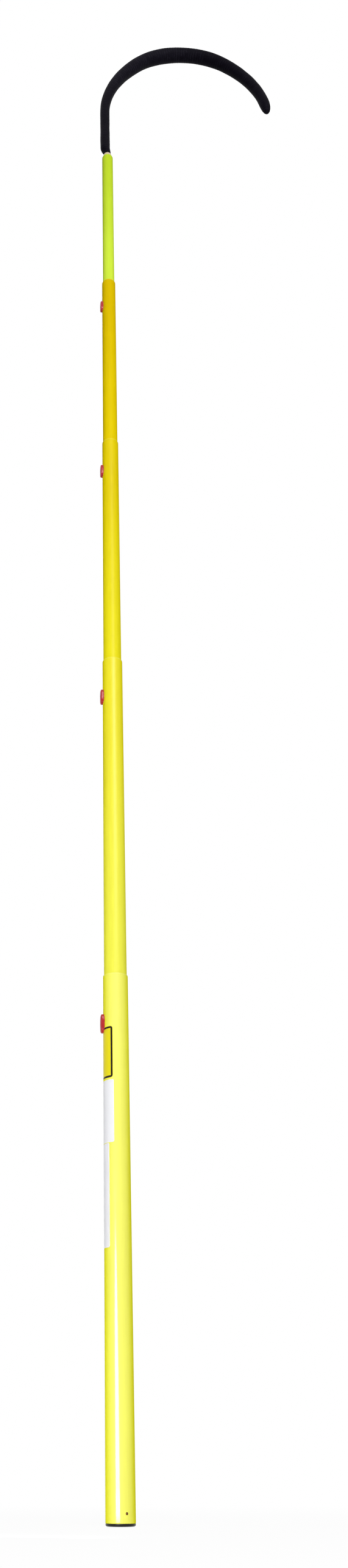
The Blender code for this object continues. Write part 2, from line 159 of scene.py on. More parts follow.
def carve(mesh, cutterMeshes):
    # cuts the cutters out of a mesh and gives back the finished mesh
    body = newObject(mesh.name, mesh)
    cutters = [newObject("cutter", cutterMesh) for cutterMesh in cutterMeshes]
    for cutter in cutters:
        boolean = body.modifiers.new("hole", "BOOLEAN")
        boolean.operation = "DIFFERENCE"
        boolean.solver = "EXACT"
        boolean.object = cutter
    graph = bpy.context.evaluated_depsgraph_get()
    graph.update()
    carved = bpy.data.meshes.new_from_object(body.evaluated_get(graph))
    for thing in [body] + cutters:
        bpy.data.objects.remove(thing, do_unlink=True)
    smoothShade(carved)
    return carved


# the frame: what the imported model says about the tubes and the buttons

sectionNames = ["base", "section_2", "section_3", "section_4", "tip"]
tubeBelow = dict(zip(sectionNames[1:], sectionNames))
buttonKeys = {"section_2": "2", "section_3": "3", "section_4": "4", "tip": "tip"}
jointOf = {joint["name"]: joint for joint in frame["joints"]}
pressAxis = Vector(jointOf["button_2_press"]["axis"]).normalized()
acrossAxis = Vector((-pressAxis.y, pressAxis.x, 0))
upAxis = Vector((0, 0, 1))


def nodePoints(node):
    return [vertex.co for vertex in frame["nodes"][node].data.vertices]


def measureTube(node):
    low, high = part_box(node)
    rim = [math.hypot(p.x, p.y) for p in nodePoints(node) if p.z > high.z - tinyLength]
    return {"outer": high.x, "lip": high.x - max(rim), "bore": min(rim), "bottom": low.z, "mouth": high.z}


def reachAlong(points, axis):
    values = [point.dot(axis) for point in points]
    return min(values), max(values)


def boxAlongPress(node):
    # a node's reach along the press axis, across it and in height
    return [reachAlong(nodePoints(node), axis) for axis in (pressAxis, acrossAxis, upAxis)]


tubes = {name: measureTube(name + "_tube") for name in sectionNames}
buttons = {name: boxAlongPress("lock_button_" + key) for name, key in buttonKeys.items()}
print("frame read:", len(frame["nodes"]), "nodes")


# shader building blocks

def newGroup(name, inputs, outputs):
    # inputs maps each name to its default, and every socket is a plain number
    group = bpy.data.node_groups.new(name, "ShaderNodeTree")
    for label, default in inputs.items():
        made = group.interface.new_socket(label, in_out="INPUT", socket_type="NodeSocketFloat")
        made.default_value = default
    for label in outputs:
        group.interface.new_socket(label, in_out="OUTPUT", socket_type="NodeSocketFloat")
    return group, group.nodes.new("NodeGroupInput"), group.nodes.new("NodeGroupOutput")


def setInput(tree, node, socket, value):
    # value is an output socket to link, or a plain value
    if isinstance(value, bpy.types.NodeSocket):
        tree.links.new(value, node.inputs[socket])
    else:
        node.inputs[socket].default_value = value


def feed(tree, node, **values):
    # sets or links a node's inputs, with _ for the spaces in their names
    for label, value in values.items():
        setInput(tree, node, label.replace("_", " "), value)


def operate(tree, kind, operation, first, second):
    node = tree.nodes.new(kind)
    node.operation = operation
    setInput(tree, node, 0, first)
    setInput(tree, node, 1, second)
    return node


def math2(tree, operation, first, second=0.0, clamp=False):
    node = operate(tree, "ShaderNodeMath", operation, first, second)
    node.use_clamp = clamp
    return node.outputs[0]


def times(tree, first, second):
    return math2(tree, "MULTIPLY", first, second)


def plus(tree, first, second):
    return math2(tree, "ADD", first, second)


def minus(tree, first, second):
    return math2(tree, "SUBTRACT", first, second)


def weightedSum(tree, start, *terms):
    # start, plus each term's value times its weight
    total = start
    for value, weight in terms:
        total = plus(tree, total, times(tree, value, weight))
    return total


def remap(tree, value, fromMin, fromMax, toMin=0.0, toMax=1.0):
    node = tree.nodes.new("ShaderNodeMapRange")
    node.interpolation_type = "SMOOTHSTEP"
    feed(tree, node, Value=value, From_Min=fromMin, From_Max=fromMax, To_Min=toMin, To_Max=toMax)
    return node.outputs["Result"]


def mixColor(tree, factor, first, second, blend="MIX"):
    node = tree.nodes.new("ShaderNodeMix")
    node.data_type = "RGBA"
    node.blend_type = blend
    setInput(tree, node, "Factor", factor)
    setInput(tree, node, colorA, first)
    setInput(tree, node, colorB, second)
    return node.outputs[colorOut]


def scaledColor(color, scale):
    # a linear colour made paler or deeper, and opaque
    return tuple(min(1.0, channel * scale) for channel in color[:3]) + (1.0,)


def vectorMath(tree, operation, first, second=(0, 0, 0)):
    return operate(tree, "ShaderNodeVectorMath", operation, first, second)


def placeOn(tree, kind="Object"):
    # a point's place on its piece; in the world, Generated is the direction looked in
    return tree.nodes.new("ShaderNodeTexCoord").outputs[kind]


noiseSpread = (0.3, 0.7)   # noise values that become 0 and 1
noiseRoughness = 0.55


def noiseValue(tree, rates, detail=3.0):
    # noise over the piece's own coordinates, with its rates per metre along X, Y and Z
    if isinstance(rates[0], bpy.types.NodeSocket):
        joined = tree.nodes.new("ShaderNodeCombineXYZ")
        feed(tree, joined, X=rates[0], Y=rates[1], Z=rates[2])
        rates = joined.outputs[0]
    scaled = vectorMath(tree, "MULTIPLY", placeOn(tree), rates)
    node = tree.nodes.new("ShaderNodeTexNoise")
    feed(tree, node, Vector=scaled.outputs[0], Scale=1.0, Detail=detail, Roughness=noiseRoughness)
    return node.outputs["Fac"]


def heightValue(tree):
    # how far above the butt of the pole a point is
    split = tree.nodes.new("ShaderNodeSeparateXYZ")
    feed(tree, split, Vector=placeOn(tree))
    return split.outputs["Z"]


def marksOver(tree, value, amount, pattern):
    # 1 where a noise value is over a limit that drops as the amount of marks goes up
    limit = minus(tree, pattern["limit"], times(tree, amount, pattern["limitDrop"]))
    return remap(tree, value, limit, plus(tree, limit, pattern["edge"]))


def buildFibreGroup():
    # long fibres under a clear resin: streaks that run along the pole, and slow clouding
    group, given, result = newGroup(
        "long_fibres", {"Fibres per Metre": 700.0, "Fibre Length": 0.06, "Cloud Size": 0.05},
        ["Streak", "Cloud"],
    )
    detail, cloudStretch = 2.0, 4.0
    across = given.outputs["Fibres per Metre"]
    along = math2(group, "DIVIDE", 1.0, given.outputs["Fibre Length"])
    streaks = noiseValue(group, (across, across, along), detail)
    cloudRate = math2(group, "DIVIDE", 1.0, given.outputs["Cloud Size"])
    slow = times(group, cloudRate, 1 / cloudStretch)
    clouds = noiseValue(group, (cloudRate, cloudRate, slow), detail)
    streaks, clouds = (remap(group, value, *noiseSpread) for value in (streaks, clouds))
    feed(group, result, Streak=streaks, Cloud=clouds)
    return group


wearPattern = {
    "hairRates": (1500.0, 1500.0, 9.0), "hairDetail": 1.0, "limit": 0.80, "limitDrop": 0.2,
    "edge": 0.04, "patchRates": (30.0, 30.0, 7.0), "patchDetail": 2.0, "patchSpread": (0.45, 0.65),
    "smudgeSpread": (0.35, 0.7), "raggedRates": (260.0, 260.0, 260.0),
}


def buildWearGroup():
    # handling marks: hairline scratches along the pole, soft smudges and a worn mouth edge
    pattern = wearPattern
    group, given, result = newGroup(
        "handling_wear",
        {"Mouth Height": 1.0, "Worn Band": 0.004, "Scratch Amount": 0.3, "Smudge Size": 0.03},
        ["Scratch", "Smudge", "Worn Edge"],
    )
    hairs = noiseValue(group, pattern["hairRates"], pattern["hairDetail"])
    patches = noiseValue(group, pattern["patchRates"], pattern["patchDetail"])
    scratch = marksOver(group, hairs, given.outputs["Scratch Amount"], pattern)
    scratch = times(group, scratch, remap(group, patches, *pattern["patchSpread"]))
    smudgeRate = math2(group, "DIVIDE", 1.0, given.outputs["Smudge Size"])
    smudge = noiseValue(group, (smudgeRate, smudgeRate, smudgeRate))
    drop = minus(group, given.outputs["Mouth Height"], heightValue(group))
    ragged = times(group, noiseValue(group, pattern["raggedRates"]), given.outputs["Worn Band"])
    drop = minus(group, drop, ragged)
    half = times(group, given.outputs["Worn Band"], 0.5)
    worn = remap(group, drop, half, times(group, half, -1.0))
    smudge = remap(group, smudge, *pattern["smudgeSpread"])
    feed(group, result, Scratch=scratch, Smudge=smudge, Worn_Edge=worn)
    return group


grainPattern = {
    "fineDetail": 2.0, "speckDetail": 0.0, "coarseShare": 0.35, "limit": 0.82, "limitDrop": 0.2,
    "edge": 0.05,
}


def buildGrainGroup():
    # fine moulded grain with a few larger specks
    pattern = grainPattern
    group, given, result = newGroup(
        "moulded_grain", {"Grain per Metre": 2500.0, "Speck Density": 0.3}, ["Grain", "Speck"],
    )
    grain = given.outputs["Grain per Metre"]
    fine = noiseValue(group, (grain, grain, grain), pattern["fineDetail"])
    coarse = times(group, grain, pattern["coarseShare"])
    specks = noiseValue(group, (coarse, coarse, coarse), pattern["speckDetail"])
    specks = marksOver(group, specks, given.outputs["Speck Density"], pattern)
    feed(group, result, Grain=fine, Speck=specks)
    return group


groups = {"fibre": buildFibreGroup(), "wear": buildWearGroup(), "grain": buildGrainGroup()}


def placeGroup(tree, key, **values):
    # drops a shared group into a material, with values for its inputs
    node = tree.nodes.new("ShaderNodeGroup")
    node.node_tree = groups[key]
    feed(tree, node, **values)
    return node


def newMaterial(name, **plain):
    # a Principled material with the settings that are the same all over it
    material = bpy.data.materials.new(name)
    material.use_nodes = True
    shader = material.node_tree.nodes["Principled BSDF"]
    feed(material.node_tree, shader, **plain)
    return material, material.node_tree, shader


def bumpFrom(tree, height, distance):
    bump = tree.nodes.new("ShaderNodeBump")
    feed(tree, bump, Height=height, Distance=distance, Strength=1.0)
    return bump.outputs["Normal"]


# materials of the pole

usualTube = {"roughness": 0.5, "specular": 0.06, "coatIor": 1.6, "coatRoughness": 0.4, "scratches": 0.7}
# painted shade: besides each tube's own yellow, the upper and lower colours draw every tube deeper towards
# its mouth, and the sections deeper and darker up the pole, standing in for the light falling off with
# height
tubeLooks = {
    # upper, lower and worn are screen colours; fibre is the share of light that the fibres leave
    "base": {
        **usualTube, "upper": (252, 252, 58), "lower": (252, 252, 52), "worn": (253, 253, 150),
        "fibre": 0.96, "specular": 1.0, "coat": 1.0, "coatIor": 1.8, "coatRoughness": 0.11, "scratches": 0.5,
    },
    "section_2": {
        **usualTube, "upper": (251, 239, 28), "lower": (252, 252, 72), "worn": (252, 248, 130),
        "fibre": 0.94, "coat": 0.8,
    },
    "section_3": {
        **usualTube, "upper": (243, 219, 6), "lower": (252, 241, 26), "worn": (250, 240, 110),
        "fibre": 0.92, "coat": 0.28,
    },
    "section_4": {
        **usualTube, "upper": (232, 199, 3), "lower": (243, 216, 6), "worn": (242, 222, 90),
        "fibre": 0.92, "coat": 0.12, "coatIor": 1.5,
    },
    "tip": {
        **usualTube, "upper": (198, 227, 50), "lower": (219, 249, 72), "worn": (222, 240, 130),
        "fibre": 0.94, "roughness": 0.6, "coat": 0.2, "coatIor": 1.5, "scratches": 0.4,
    },
}
tubeFinish = {
    "fibre": {"Fibres_per_Metre": 650.0, "Fibre_Length": 0.07, "Cloud_Size": 0.045},
    "streakShare": 0.55, "cloudShare": 0.45, "fibreTint": (1.0, 0.97, 0.9), "scratchTint": 0.3,
    "wornTint": 0.45, "smudgeRough": 0.07, "scratchRough": 0.15, "wornRough": 0.2,
    "streakRelief": 0.6, "scratchRelief": 0.4, "relief": 0.00002,
    # facing values between which the clear coat and the resin under it stop shining
    "coatFade": (0.08, 0.62), "resinFade": (0.02, 0.42),
}


def makeTubeMaterial(section):
    look, finish, mouth = tubeLooks[section], tubeFinish, tubes[section]["mouth"]
    material, tree, shader = newMaterial(
        section + "_fibreglass", Coat_Roughness=look["coatRoughness"], Coat_IOR=look["coatIor"],
    )
    fibres = placeGroup(tree, "fibre", **finish["fibre"])
    wear = placeGroup(tree, "wear", Mouth_Height=mouth, Scratch_Amount=look["scratches"])
    streak, cloud = fibres.outputs["Streak"], fibres.outputs["Cloud"]
    scratch, smudge, wornEdge = (wear.outputs[label] for label in ("Scratch", "Smudge", "Worn Edge"))
    upper, lower, worn = screenColors(look, "upper", "lower", "worn")
    # painted shade: the colour runs from the lower one, where the tube shows above the one below, to the
    # upper one at its mouth
    shownFrom = tubes[tubeBelow[section]]["mouth"] if section in tubeBelow else 0.0
    color = mixColor(tree, remap(tree, heightValue(tree), shownFrom, mouth), lower, upper)
    blend = weightedSum(tree, 0.0, (streak, finish["streakShare"]), (cloud, finish["cloudShare"]))
    deeper = scaledColor(finish["fibreTint"], look["fibre"])
    tint = mixColor(tree, blend, (1.0, 1.0, 1.0, 1.0), deeper)
    color = mixColor(tree, 1.0, color, tint, "MULTIPLY")
    color = mixColor(tree, times(tree, scratch, finish["scratchTint"]), color, worn)
    color = mixColor(tree, times(tree, wornEdge, finish["wornTint"]), color, worn)
    rough = weightedSum(
        tree, look["roughness"], (smudge, finish["smudgeRough"]), (scratch, finish["scratchRough"]),
        (wornEdge, finish["wornRough"]),
    )
    # the tube is glossy where it faces the eye, and the gloss dies away towards its sides
    turned = tree.nodes.new("ShaderNodeLayerWeight")
    turned.inputs["Blend"].default_value = 0.5
    coat = remap(tree, turned.outputs["Facing"], *finish["coatFade"], look["coat"], 0.0)
    resin = remap(tree, turned.outputs["Facing"], *finish["resinFade"], look["specular"], 0.0)
    relief = weightedSum(tree, 0.0, (streak, finish["streakRelief"]), (scratch, -finish["scratchRelief"]))
    feed(
        tree, shader, Base_Color=color, Roughness=rough, Specular_IOR_Level=resin,
        Coat_Weight=times(tree, minus(tree, 1.0, wornEdge), coat),
        Normal=bumpFrom(tree, relief, finish["relief"]),
    )
    return material


plasticLooks = {
    # light and deep are screen colours
    "button": {"light": (190, 28, 32), "deep": (166, 15, 24), "rough": 0.26, "coat": 0.15, "specular": 0.3},
    "cap": {"light": (20, 14, 17), "deep": (11, 7, 9), "rough": 0.26, "coat": 0.25, "specular": 0.15},
    "plug": {"light": (62, 63, 66), "deep": (50, 51, 54), "rough": 0.5, "coat": 0.0, "specular": 0.4},
    "ferrule": {
        "light": (226, 208, 172), "deep": (206, 184, 144), "rough": 0.48, "coat": 0.1, "specular": 0.4,
    },
    "foam": {
        "light": (236, 226, 188), "deep": (214, 200, 150), "rough": 0.9, "coat": 0.0, "specular": 0.2,
    },
}
plasticFinish = {
    "grain": {"Grain_per_Metre": 2200.0, "Speck_Density": 0.35}, "coatRoughness": 0.15,
    "speckTint": 0.25, "paler": 1.5, "grainRough": 0.12, "relief": 0.00003,
}


def makePlasticMaterial(key):
    look, finish = plasticLooks[key], plasticFinish
    material, tree, shader = newMaterial(
        key + "_plastic", Coat_Weight=look["coat"], Coat_Roughness=finish["coatRoughness"],
        Specular_IOR_Level=look["specular"],
    )
    made = placeGroup(tree, "grain", **finish["grain"])
    grain, speck = made.outputs["Grain"], made.outputs["Speck"]
    light, deep = screenColors(look, "light", "deep")
    color = mixColor(tree, grain, deep, light)
    paler = scaledColor(light, finish["paler"])
    color = mixColor(tree, times(tree, speck, finish["speckTint"]), color, paler)
    smoothest = look["rough"] - finish["grainRough"] / 2
    rough = math2(tree, "ADD", times(tree, grain, finish["grainRough"]), smoothest, clamp=True)
    normal = bumpFrom(tree, grain, finish["relief"])
    feed(tree, shader, Base_Color=color, Roughness=rough, Normal=normal)
    return material


metalLooks = {
    # light and deep are screen colours
    "steel": {"light": (196, 199, 204), "deep": (150, 153, 158), "rough": 0.34},
    "spring": {"light": (206, 209, 214), "deep": (166, 168, 174), "rough": 0.28},
    "rivet": {"light": (150, 112, 62), "deep": (88, 60, 30), "rough": 0.42},
}
metalFinish = {
    "fibre": {"Fibres_per_Metre": 3000.0, "Fibre_Length": 0.01, "Cloud_Size": 0.004},
    "grain": {"Grain_per_Metre": 1800.0, "Speck_Density": 0.6},
    "lineRough": 0.15, "tarnish": 0.3, "relief": 0.00002,
}


def makeMetalMaterial(key):
    look, finish = metalLooks[key], metalFinish
    material, tree, shader = newMaterial(key + "_metal")
    # brushed lines are the fibre group drawn fine, and tarnish is the grain's specks
    grain = placeGroup(tree, "grain", **finish["grain"])
    brushed = placeGroup(tree, "fibre", **finish["fibre"])
    light, deep = screenColors(look, "light", "deep")
    streak = brushed.outputs["Streak"]
    feed(
        tree, shader, Base_Color=mixColor(tree, brushed.outputs["Cloud"], deep, light),
        Roughness=weightedSum(tree, look["rough"], (streak, finish["lineRough"])),
        Metallic=weightedSum(tree, 1.0, (grain.outputs["Speck"], -finish["tarnish"])),
        Normal=bumpFrom(tree, streak, finish["relief"]),
    )
    return material


coverLook = {
    # deep, light and the pale grey after them are screen colours; the pale grey is dust in the ridges and
    # specks, and painted sheen on the crown
    "deep": (2, 1, 7), "light": (9, 6, 15), "dustAndSheen": (38, 36, 46), "specular": 0.03,
    "grain": {"Grain_per_Metre": 1400.0, "Speck_Density": 0.5}, "speckDust": 0.35,
    "slowRates": (55.0, 55.0, 55.0), "slowSpread": (0.35, 0.65),
    "ridgePitch": 0.0085, "ridgeDrift": 9.0, "ridgeDust": 0.22,
    # metres along the hook at which the crown's painted sheen starts, is full, eases off and ends
    "crownRun": (0.22, 0.42, 0.60, 0.78), "paintedCrownSheen": 0.45, "crownRidgeShare": 0.6,
    "smoothest": 0.50, "slowRough": 0.16, "poreRelief": 0.5, "relief": 0.00018,
}


def makeCoverMaterial():
    # closed-cell foam in a dipped skin; the run-length attribute carries the wrap marks
    look = coverLook
    light, deep, dustAndSheen = screenColors(look, "light", "deep", "dustAndSheen")
    material, tree, shader = newMaterial("hook_cover_foam", Specular_IOR_Level=look["specular"])
    run = tree.nodes.new("ShaderNodeAttribute")
    run.attribute_name = "runLength"
    made = placeGroup(tree, "grain", **look["grain"])
    grain, speck = made.outputs["Grain"], made.outputs["Speck"]
    slow = noiseValue(tree, look["slowRates"])
    phase = times(tree, run.outputs["Fac"], fullTurn / look["ridgePitch"])
    phase = plus(tree, phase, times(tree, slow, look["ridgeDrift"]))
    ridge = times(tree, plus(tree, math2(tree, "SINE", phase), 1.0), 0.5)
    ridge = times(tree, ridge, remap(tree, slow, *look["slowSpread"]))
    color = mixColor(tree, grain, deep, light)
    color = mixColor(tree, times(tree, ridge, look["ridgeDust"]), color, dustAndSheen)
    # painted highlight: the crown is drawn a little paler than the shank and the nose, standing in for the
    # soft light on its top
    sheenStart, sheenFull, sheenEase, sheenEnd = look["crownRun"]
    crownSheenMask = remap(tree, run.outputs["Fac"], sheenStart, sheenFull)
    crownSheenMask = times(tree, crownSheenMask, remap(tree, run.outputs["Fac"], sheenEnd, sheenEase))
    share = look["crownRidgeShare"]
    crownSheenMask = times(tree, crownSheenMask, weightedSum(tree, 1 - share, (ridge, share)))
    color = mixColor(tree, times(tree, crownSheenMask, look["paintedCrownSheen"]), color, dustAndSheen)
    color = mixColor(tree, times(tree, speck, look["speckDust"]), color, dustAndSheen)
    rough = weightedSum(tree, look["smoothest"], (slow, look["slowRough"]))
    normal = bumpFrom(tree, weightedSum(tree, ridge, (grain, look["poreRelief"])), look["relief"])
    feed(tree, shader, Base_Color=color, Roughness=rough, Normal=normal)
    return material


materials = {section: makeTubeMaterial(section) for section in sectionNames}
for key in plasticLooks:
    materials[key] = makePlasticMaterial(key)
for key in metalLooks:
    materials[key] = makeMetalMaterial(key)
materials["cover"] = makeCoverMaterial()
print("materials made:", len(materials))


# tubes with rounded mouths and oval button holes

tubeShape = {
    "segments": 128, "boreLip": 0.0003, "footLip": 0.0004, "holeGap": 0.0003, "holeReach": 0.024,
    "rowGap": 0.006, "firmRing": 0.0008, "holeOutside": 0.002, "holeInner": 0.006,
}
buttonShape = {
    # power is 2 for an ellipse, and more for squarer corners
    "power": 3.0, "segments": 72, "steps": 8, "edge": 0.0028, "dish": 0.0008, "lip": 0.0012,
    "lipThickness": 0.0012, "filletReach": 0.0003, "filletHeight": 0.0006, "clearance": 0.0002,
}


def tubeProfile(tube, holeHeights):
    # down the outside, round the foot, up the bore and round the mouth; a ring just inside each
    # rounded end keeps the long walls straight in the light
    lip, boreLip, footLip = tube["lip"], tubeShape["boreLip"], tubeShape["footLip"]
    outer, bore, top, bottom = tube["outer"], tube["bore"], tube["mouth"], tube["bottom"]
    firm, reach, gap = tubeShape["firmRing"], tubeShape["holeReach"], tubeShape["rowGap"]
    heights = [top - lip - firm, bottom + footLip + firm]
    for height in holeHeights:
        heights += [height + reach - i * gap for i in range(int(2 * reach / gap) + 1)]
    profile = roundedCorner((outer - lip, top - lip), lip, 90, 0)
    profile += [(outer, height) for height in sorted(heights, reverse=True)]
    profile += roundedCorner((outer - footLip, bottom + footLip), footLip, 0, -90)
    profile += roundedCorner((bore + footLip, bottom + footLip), footLip, -90, -180, steps=2)
    profile += [(bore, height) for height in sorted(heights)]
    profile += roundedCorner((bore + boreLip, top - boreLip), boreLip, 180, 90, steps=2)
    return profile


def ovalRing(reach, halfWidth, halfHeight, height):
    # a rounded square stretched to an oval, across the press axis
    power, segments = buttonShape["power"], buttonShape["segments"]
    ring = []
    for i in range(segments):
        across, up = math.cos(fullTurn * i / segments), math.sin(fullTurn * i / segments)
        swell = (abs(across) ** power + abs(up) ** power) ** (-1 / power)
        side = acrossAxis * halfWidth * across * swell
        ring.append(pressAxis * reach + side + Vector((0, 0, height + halfHeight * up * swell)))
    return ring


def buttonSize(section):
    # the oval knob's half width and half height above its lip, and its heights along the axis
    along, across, up = buttons[section]
    stretch = (up[1] - up[0]) / (across[1] - across[0])
    halfWidth = (across[1] - across[0]) / 2 - buttonShape["lip"]
    return {
        "halfWidth": halfWidth, "halfHeight": halfWidth * stretch, "stretch": stretch,
        "crest": -along[0], "back": -along[1], "height": (up[0] + up[1]) / 2,
    }


def holeFor(section):
    # an oval bar that cuts a button's window, from past its crown to inside the bore
    size, gap = buttonSize(section), tubeShape["holeGap"]
    halfWidth, halfHeight = size["halfWidth"] + gap, size["halfHeight"] + gap
    ends = (-size["crest"] - tubeShape["holeOutside"], -tubeShape["holeInner"])
    rings = [ovalRing(reach, halfWidth, halfHeight, size["height"]) for reach in ends]
    caps = [[middleOf(ring)] for ring in rings]
    return skin("button_hole", [caps[0], rings[0], rings[1], caps[1]])


def makeTubes():
    for index, section in enumerate(sectionNames):
        name = section + "_tube_smooth"
        cutFor = sectionNames[max(index, 1):index + 2]
        heights = [buttonSize(other)["height"] for other in cutFor]
        mesh = lathe(name, tubeProfile(tubes[section], heights), tubeShape["segments"])
        mesh = carve(mesh, [holeFor(other) for other in cutFor])
        mesh.name = name
        addPiece(name, mesh, [materials[section]], section, [section + "_tube"])


makeTubes()
print("tubes made")


# lock buttons with a dished crown, and the leaf springs behind them

def buttonProfile(size):
    # (radius, distance from the pole's axis) from the middle of the crown down to the back
    body, crest, back = size["halfWidth"], size["crest"], size["back"]
    edge, dish, steps = buttonShape["edge"], buttonShape["dish"], buttonShape["steps"]
    lip, wide = back + buttonShape["lipThickness"], body + buttonShape["lip"]
    rim = body - edge
    profile = [(0.0, crest - dish)]
    for i in range(1, steps + 1):
        share = i / steps
        profile.append((rim * share, crest - dish * (1 - easeBetween(share, 0.0, 1.0))))
    for i in range(1, steps + 1):
        angle = math.radians(90 * i / steps)
        profile.append((rim + (body - rim) * math.sin(angle), crest - edge * (1 - math.cos(angle))))
    profile += [(body, lip + buttonShape["filletHeight"]), (body + buttonShape["filletReach"], lip)]
    profile += [(wide, lip), (wide, back), (0.0, back)]
    return profile


def makeButton(section):
    size = buttonSize(section)
    rings = []
    for radius, reach in buttonProfile(size):
        if radius < tinyLength:
            rings.append([pressAxis * -reach + Vector((0, 0, size["height"]))])
        else:
            rings.append(ovalRing(-reach, radius, radius * size["stretch"], size["height"]))
    node = "lock_button_" + buttonKeys[section]
    mesh = skin(node + "_smooth", rings, sharpAngle=50)
    body = "button_" + buttonKeys[section]
    button = addPiece(node + "_smooth", mesh, [materials["button"]], body, [node])
    return button, size


springShape = {"thickness": 0.0008, "bendSteps": 24, "endNarrow": 0.86}


def makeLeafSpring(section):
    # a strip bent to a U, one leg behind the button and one on the far side of the bore
    node = "leaf_spring_" + buttonKeys[section]
    along, across, up = boxAlongPress(node)
    thickness = springShape["thickness"]
    near, far = along[0] + thickness / 2, along[1] - thickness / 2
    radius = (far - near) / 2
    top, low = up[1], up[0] + thickness / 2 + radius
    halfWidth = (across[1] - across[0]) / 2
    path = [(near, top), (near, (top + low) / 2), (near, low)]
    for i in range(1, springShape["bendSteps"]):
        angle = math.pi * i / springShape["bendSteps"]
        path.append((near + radius - radius * math.cos(angle), low - radius * math.sin(angle)))
    path += [(far, low), (far, (top + low) / 2), (far, top)]
    rings = []
    for i, (reach, height) in enumerate(path):
        before, after = path[max(i - 1, 0)], path[min(i + 1, len(path) - 1)]
        heading = Vector((after[0] - before[0], after[1] - before[1])).normalized()
        outward = Vector((-heading.y, heading.x)) * thickness / 2
        narrow = halfWidth * (springShape["endNarrow"] if i in (0, len(path) - 1) else 1.0)
        ring = []
        for side, face in ((-1, -1), (1, -1), (1, 1), (-1, 1)):
            point = pressAxis * (reach + outward.x * face) + acrossAxis * narrow * side
            ring.append(point + Vector((0, 0, height + outward.y * face)))
        rings.append(ring)
    caps = [[middleOf(rings[0])], [middleOf(rings[-1])]]
    mesh = skin(node + "_bent", [caps[0]] + rings + [caps[1]], sharpAngle=40)
    leaf = addPiece(node + "_bent", mesh, [materials["spring"]], section, [node])
    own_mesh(leaf)


for section, below in tubeBelow.items():
    button, size = makeButton(section)
    if below != "base":
        # the tube two below presses this button in as the section under it slides down, until
        # the corners of its crown are inside the outer face of the tube it shows through
        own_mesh(button)
    makeLeafSpring(section)
print("buttons and springs made")


# butt cap and rivets

capShape = {
    "segments": 128, "edge": 0.003, "rimBead": 0.0006, "spigotWall": 0.003, "spigotChamfer": 0.0006,
}


def makeButtCap():
    low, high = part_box("butt_cap")
    base = tubes["base"]
    flange, spigot = base["bottom"] - seatGap, base["bore"] - seatGap
    hollow, chamfer = spigot - capShape["spigotWall"], capShape["spigotChamfer"]
    edge, bead = capShape["edge"], capShape["rimBead"]
    outline = [(0.0, flange), (hollow, flange), (hollow, high.z), (spigot - chamfer, high.z)]
    outline += [(spigot, high.z - chamfer), (spigot, flange)]
    outline += roundedCorner((high.x - bead, flange - bead), bead, 90, 0, steps=3)
    outline += roundedCorner((high.x - edge, low.z + edge), edge, 0, -90, steps=8)
    outline.append((0.0, low.z))
    mesh = lathe("butt_cap_smooth", outline, capShape["segments"], closed=False)
    addPiece("butt_cap_smooth", mesh, [materials["cap"]], "base", ["butt_cap"])


rivetShape = {
    "segments": 40, "dimple": 0.00035, "dimpleShare": 0.25, "seatGap": 0.00005, "shank": 0.0013,
    # from the dimple to the rim: shares of the head's radius, and of its rise down from the crown
    "dome": ((0.42, 0.08), (0.55, 0.0), (0.75, 0.12), (0.92, 0.42), (1.0, 0.9)),
}


def makeRivet(which):
    # a domed head with a drawn-in middle, and its shank
    node = "butt_cap_rivet_" + which
    points = nodePoints(node)
    middle = middleOf(points)
    outward = Vector((middle.x, middle.y, 0)).normalized()
    sideways = Vector((-outward.y, outward.x, 0))
    lowest, highest = reachAlong(points, upAxis)
    height, head = (lowest + highest) / 2, (highest - lowest) / 2
    tail, crown = reachAlong(points, outward)
    seat = tubes["base"]["outer"] + rivetShape["seatGap"]
    dimple, shank = crown - rivetShape["dimple"], rivetShape["shank"]
    profile = [(0.0, dimple), (head * rivetShape["dimpleShare"], dimple)]
    profile += [(head * share, crown - (crown - seat) * drop) for share, drop in rivetShape["dome"]]
    profile += [(head, seat), (shank, seat), (shank, tail), (0.0, tail)]
    rings = []
    for radius, reach in profile:
        centre = outward * reach + Vector((0, 0, height))
        if radius < tinyLength:
            rings.append([centre])
            continue
        ring = []
        for i in range(rivetShape["segments"]):
            angle = fullTurn * i / rivetShape["segments"]
            side = centre + sideways * radius * math.cos(angle)
            ring.append(side + Vector((0, 0, radius * math.sin(angle))))
        rings.append(ring)
    mesh = skin(node + "_smooth", rings, sharpAngle=60)
    addPiece(node + "_smooth", mesh, [materials["rivet"]], "base", [node])


makeButtCap()
for which in ("front", "rear"):
    makeRivet(which)
print("butt cap made")


# blank labels on the base tube

labelShape = {
    "thickness": 0.00014, "lift": 0.00003, "cornerSteps": 6, "sideSteps": 24, "endSteps": 32,
    "insets": 16, "lastInset": 0.985,
}
labels = {
    "label_yellow": {
        "low": 0.7145, "high": 0.814, "edgeAngle": -18.0, "width": 0.050, "corner": 0.005,
        "border": (0.0006, 0.0042),   # from the label's edge to the line's outer and inner edge
    },
    "label_white_upper": {
        "low": 0.596, "high": 0.711, "edgeAngle": -14.5, "width": 0.052, "corner": 0.003, "border": (),
    },
    "label_white_lower": {
        "low": 0.416, "high": 0.595, "edgeAngle": -38.0, "width": 0.037, "corner": 0.003, "border": (),
    },
}
labelLooks = {
    # light, deep and ink are screen colours
    "label_yellow": {"light": (244, 230, 30), "deep": (236, 219, 22), "ink": (24, 18, 6)},
    "label_white": {"light": (251, 251, 253), "deep": (242, 243, 248)},
}
labelFinish = {
    "grain": {"Grain_per_Metre": 900.0}, "wear": {"Smudge_Size": 0.02}, "specular": 0.2,
    "inkShade": 0.75, "roughness": 0.34, "smudgeRough": 0.1, "relief": 0.00001,
}


